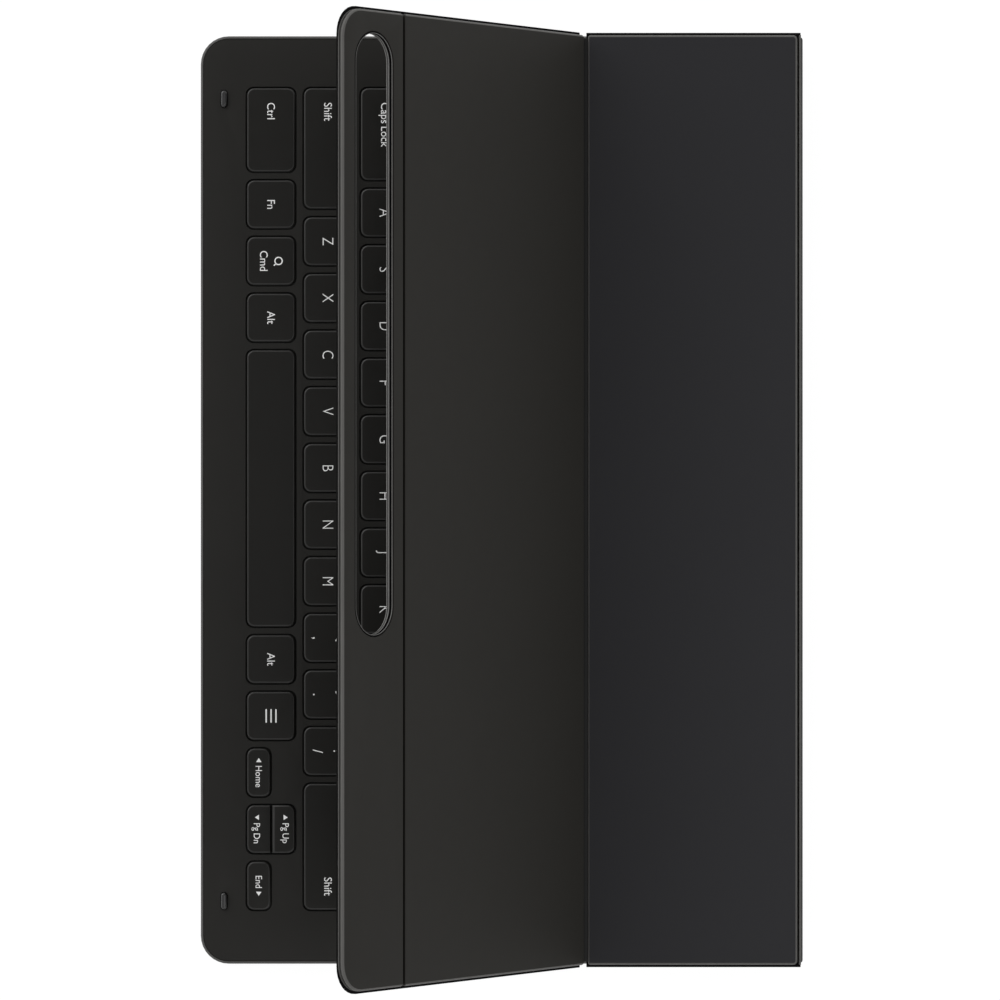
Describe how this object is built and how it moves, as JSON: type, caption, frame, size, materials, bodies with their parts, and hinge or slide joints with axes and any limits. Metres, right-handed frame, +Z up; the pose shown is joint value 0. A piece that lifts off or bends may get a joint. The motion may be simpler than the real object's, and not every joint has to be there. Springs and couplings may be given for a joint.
{
  "type": "tablet keyboard case",
  "caption": "Slim tablet keyboard with a folding cover on its rear edge: a stand panel, a back panel that folds up at a crease, and a flap with a long pen slot.",
  "frame": {"origin": "on the table, under the middle of the case as it stands half open", "axes": "+X to the typist's right along the rows of keys, +Y away from the typist towards the spine, +Z up"},
  "size_m": [0.285, 0.1844, 0.1089],
  "materials": {
    "shell": "fine matt moulded plastic",
    "deck": "fine matt moulded plastic",
    "key_cap": "matt coated plastic",
    "bumper_rubber": "soft matt",
    "backing_steel": "plain sheet",
    "membrane_film": "clear film",
    "dome_silicone": "translucent silicone",
    "circuit_board": "green solder mask",
    "magnet_nickel": "nickel plated",
    "contact_gold": "gold plated",
    "contact_block": "matt black",
    "cover_skin": "smooth soft-touch coating",
    "stiffener_board": "fibre board",
    "cover_lining": "fine microfibre",
    "hinge_web": "flexible, smooth",
    "slot_trim": "satin moulded ring"
  },
  "bodies": {
    "keyboard": {"bottom_cover": "shell", "key_deck": "deck", "backing_plate": "backing_steel", "membrane_sheet": "membrane_film", "dome_sheet": "dome_silicone", "controller_board": "circuit_board", "docking_bar": "shell", "pogo_block": "contact_block", "dock_magnet_left": "magnet_nickel", "dock_magnet_right": "magnet_nickel", "front_bumper_left": "bumper_rubber", "front_bumper_right": "bumper_rubber", "base_hinge_web": "hinge_web"},
    "spine": {"spine_board": "stiffener_board", "spine_skin": "cover_skin"},
    "stand_panel": {"stand_skin": "cover_skin", "stand_board": "stiffener_board", "stand_lining": "cover_lining", "stand_hinge_web": "hinge_web", "crease_web": "hinge_web"},
    "back_panel": {"back_skin": "cover_skin", "back_board": "stiffener_board", "back_lining": "cover_lining", "back_magnet_left": "magnet_nickel", "back_magnet_right": "magnet_nickel", "groove_web": "hinge_web"},
    "pen_flap": {"flap_skin": "cover_skin", "flap_board": "stiffener_board", "flap_lining": "cover_lining", "slot_trim": "slot_trim"},
    "pogo_pin_left": {"pogo_pin_left": "contact_gold"},
    "pogo_pin_middle": {"pogo_pin_middle": "contact_gold"},
    "pogo_pin_right": {"pogo_pin_right": "contact_gold"},
    "key_ctrl": {"key_ctrl": "key_cap"},
    "key_fn": {"key_fn": "key_cap"},
    "key_cmd": {"key_cmd": "key_cap"},
    "key_alt_left": {"key_alt_left": "key_cap"},
    "key_space": {"key_space": "key_cap"},
    "key_alt_right": {"key_alt_right": "key_cap"},
    "key_mark": {"key_mark": "key_cap"},
    "key_left": {"key_left": "key_cap"},
    "key_down": {"key_down": "key_cap"},
    "key_up": {"key_up": "key_cap"},
    "key_right": {"key_right": "key_cap"},
    "key_shift_left": {"key_shift_left": "key_cap"},
    "key_z": {"key_z": "key_cap"},
    "key_x": {"key_x": "key_cap"},
    "key_c": {"key_c": "key_cap"},
    "key_v": {"key_v": "key_cap"},
    "key_b": {"key_b": "key_cap"},
    "key_n": {"key_n": "key_cap"},
    "key_m": {"key_m": "key_cap"},
    "key_comma": {"key_comma": "key_cap"},
    "key_period": {"key_period": "key_cap"},
    "key_slash": {"key_slash": "key_cap"},
    "key_shift_right": {"key_shift_right": "key_cap"},
    "key_row_home": {"key_row_home": "key_cap"},
    "key_row_tab": {"key_row_tab": "key_cap"},
    "key_row_number": {"key_row_number": "key_cap"},
    "key_row_function": {"key_row_function": "key_cap"}
  },
  "joints": [
    {"name": "fold_spine", "type": "hinge", "parent": "keyboard", "child": "spine", "pos_m": [0, 0.09015, 0.0023], "axis": [-1, 0, 0], "range_deg": [0, 90], "deforming": ["base_hinge_web"]},
    {"name": "fold_stand", "type": "hinge", "parent": "spine", "child": "stand_panel", "pos_m": [0, 0.09015, 0.013], "axis": [-1, 0, 0], "range_deg": [0, 90], "deforming": ["stand_hinge_web"]},
    {"name": "fold_back", "type": "hinge", "parent": "stand_panel", "child": "back_panel", "pos_m": [0, 0.0258, 0.0153], "axis": [1, 0, 0], "range_deg": [-98, 52.8], "deforming": ["crease_web"]},
    {"name": "fold_flap", "type": "hinge", "parent": "back_panel", "child": "pen_flap", "pos_m": [0, -0.02825, 0.08651], "axis": [1, 0, 0], "range_deg": [-90, 0], "deforming": ["groove_web"]},
    {"name": "key_ctrl_press", "type": "slide", "parent": "keyboard", "child": "key_ctrl", "axis": [0, 0, -1], "range_m": [0, 0.001], "stiffness_N_per_m": 600, "deforming": ["dome_sheet"]},
    {"name": "key_fn_press", "type": "slide", "parent": "keyboard", "child": "key_fn", "axis": [0, 0, -1], "range_m": [0, 0.001], "stiffness_N_per_m": 600, "deforming": ["dome_sheet"]},
    {"name": "key_cmd_press", "type": "slide", "parent": "keyboard", "child": "key_cmd", "axis": [0, 0, -1], "range_m": [0, 0.001], "stiffness_N_per_m": 600, "deforming": ["dome_sheet"]},
    {"name": "key_alt_left_press", "type": "slide", "parent": "keyboard", "child": "key_alt_left", "axis": [0, 0, -1], "range_m": [0, 0.001], "stiffness_N_per_m": 600, "deforming": ["dome_sheet"]},
    {"name": "key_space_press", "type": "slide", "parent": "keyboard", "child": "key_space", "axis": [0, 0, -1], "range_m": [0, 0.001], "stiffness_N_per_m": 600, "deforming": ["dome_sheet"]},
    {"name": "key_alt_right_press", "type": "slide", "parent": "keyboard", "child": "key_alt_right", "axis": [0, 0, -1], "range_m": [0, 0.001], "stiffness_N_per_m": 600, "deforming": ["dome_sheet"]},
    {"name": "key_mark_press", "type": "slide", "parent": "keyboard", "child": "key_mark", "axis": [0, 0, -1], "range_m": [0, 0.001], "stiffness_N_per_m": 600, "deforming": ["dome_sheet"]},
    {"name": "key_left_press", "type": "slide", "parent": "keyboard", "child": "key_left", "axis": [0, 0, -1], "range_m": [0, 0.001], "stiffness_N_per_m": 600, "deforming": ["dome_sheet"]},
    {"name": "key_down_press", "type": "slide", "parent": "keyboard", "child": "key_down", "axis": [0, 0, -1], "range_m": [0, 0.001], "stiffness_N_per_m": 600, "deforming": ["dome_sheet"]},
    {"name": "key_up_press", "type": "slide", "parent": "keyboard", "child": "key_up", "axis": [0, 0, -1], "range_m": [0, 0.001], "stiffness_N_per_m": 600, "deforming": ["dome_sheet"]},
    {"name": "key_right_press", "type": "slide", "parent": "keyboard", "child": "key_right", "axis": [0, 0, -1], "range_m": [0, 0.001], "stiffness_N_per_m": 600, "deforming": ["dome_sheet"]},
    {"name": "key_shift_left_press", "type": "slide", "parent": "keyboard", "child": "key_shift_left", "axis": [0, 0, -1], "range_m": [0, 0.001], "stiffness_N_per_m": 600, "deforming": ["dome_sheet"]},
    {"name": "key_z_press", "type": "slide", "parent": "keyboard", "child": "key_z", "axis": [0, 0, -1], "range_m": [0, 0.001], "stiffness_N_per_m": 600, "deforming": ["dome_sheet"]},
    {"name": "key_x_press", "type": "slide", "parent": "keyboard", "child": "key_x", "axis": [0, 0, -1], "range_m": [0, 0.001], "stiffness_N_per_m": 600, "deforming": ["dome_sheet"]},
    {"name": "key_c_press", "type": "slide", "parent": "keyboard", "child": "key_c", "axis": [0, 0, -1], "range_m": [0, 0.001], "stiffness_N_per_m": 600, "deforming": ["dome_sheet"]},
    {"name": "key_v_press", "type": "slide", "parent": "keyboard", "child": "key_v", "axis": [0, 0, -1], "range_m": [0, 0.001], "stiffness_N_per_m": 600, "deforming": ["dome_sheet"]},
    {"name": "key_b_press", "type": "slide", "parent": "keyboard", "child": "key_b", "axis": [0, 0, -1], "range_m": [0, 0.001], "stiffness_N_per_m": 600, "deforming": ["dome_sheet"]},
    {"name": "key_n_press", "type": "slide", "parent": "keyboard", "child": "key_n", "axis": [0, 0, -1], "range_m": [0, 0.001], "stiffness_N_per_m": 600, "deforming": ["dome_sheet"]},
    {"name": "key_m_press", "type": "slide", "parent": "keyboard", "child": "key_m", "axis": [0, 0, -1], "range_m": [0, 0.001], "stiffness_N_per_m": 600, "deforming": ["dome_sheet"]},
    {"name": "key_comma_press", "type": "slide", "parent": "keyboard", "child": "key_comma", "axis": [0, 0, -1], "range_m": [0, 0.001], "stiffness_N_per_m": 600, "deforming": ["dome_sheet"]},
    {"name": "key_period_press", "type": "slide", "parent": "keyboard", "child": "key_period", "axis": [0, 0, -1], "range_m": [0, 0.001], "stiffness_N_per_m": 600, "deforming": ["dome_sheet"]},
    {"name": "key_slash_press", "type": "slide", "parent": "keyboard", "child": "key_slash", "axis": [0, 0, -1], "range_m": [0, 0.001], "stiffness_N_per_m": 600, "deforming": ["dome_sheet"]},
    {"name": "key_shift_right_press", "type": "slide", "parent": "keyboard", "child": "key_shift_right", "axis": [0, 0, -1], "range_m": [0, 0.001], "stiffness_N_per_m": 600, "deforming": ["dome_sheet"]},
    {"name": "key_row_home_press", "type": "slide", "parent": "keyboard", "child": "key_row_home", "axis": [0, 0, -1], "range_m": [0, 0.001], "stiffness_N_per_m": 4000, "deforming": ["dome_sheet"]},
    {"name": "key_row_tab_press", "type": "slide", "parent": "keyboard", "child": "key_row_tab", "axis": [0, 0, -1], "range_m": [0, 0.001], "stiffness_N_per_m": 4000, "deforming": ["dome_sheet"]},
    {"name": "key_row_number_press", "type": "slide", "parent": "keyboard", "child": "key_row_number", "axis": [0, 0, -1], "range_m": [0, 0.001], "stiffness_N_per_m": 4000, "deforming": ["dome_sheet"]},
    {"name": "key_row_function_press", "type": "slide", "parent": "keyboard", "child": "key_row_function", "axis": [0, 0, -1], "range_m": [0, 0.001], "stiffness_N_per_m": 4000, "deforming": ["dome_sheet"]},
    {"name": "pogo_pin_left_press", "type": "slide", "parent": "keyboard", "child": "pogo_pin_left", "axis": [0, 0, -1], "range_m": [0, 0.0007], "stiffness_N_per_m": 300},
    {"name": "pogo_pin_middle_press", "type": "slide", "parent": "keyboard", "child": "pogo_pin_middle", "axis": [0, 0, -1], "range_m": [0, 0.0007], "stiffness_N_per_m": 300},
    {"name": "pogo_pin_right_press", "type": "slide", "parent": "keyboard", "child": "pogo_pin_right", "axis": [0, 0, -1], "range_m": [0, 0.0007], "stiffness_N_per_m": 300}
  ]
}
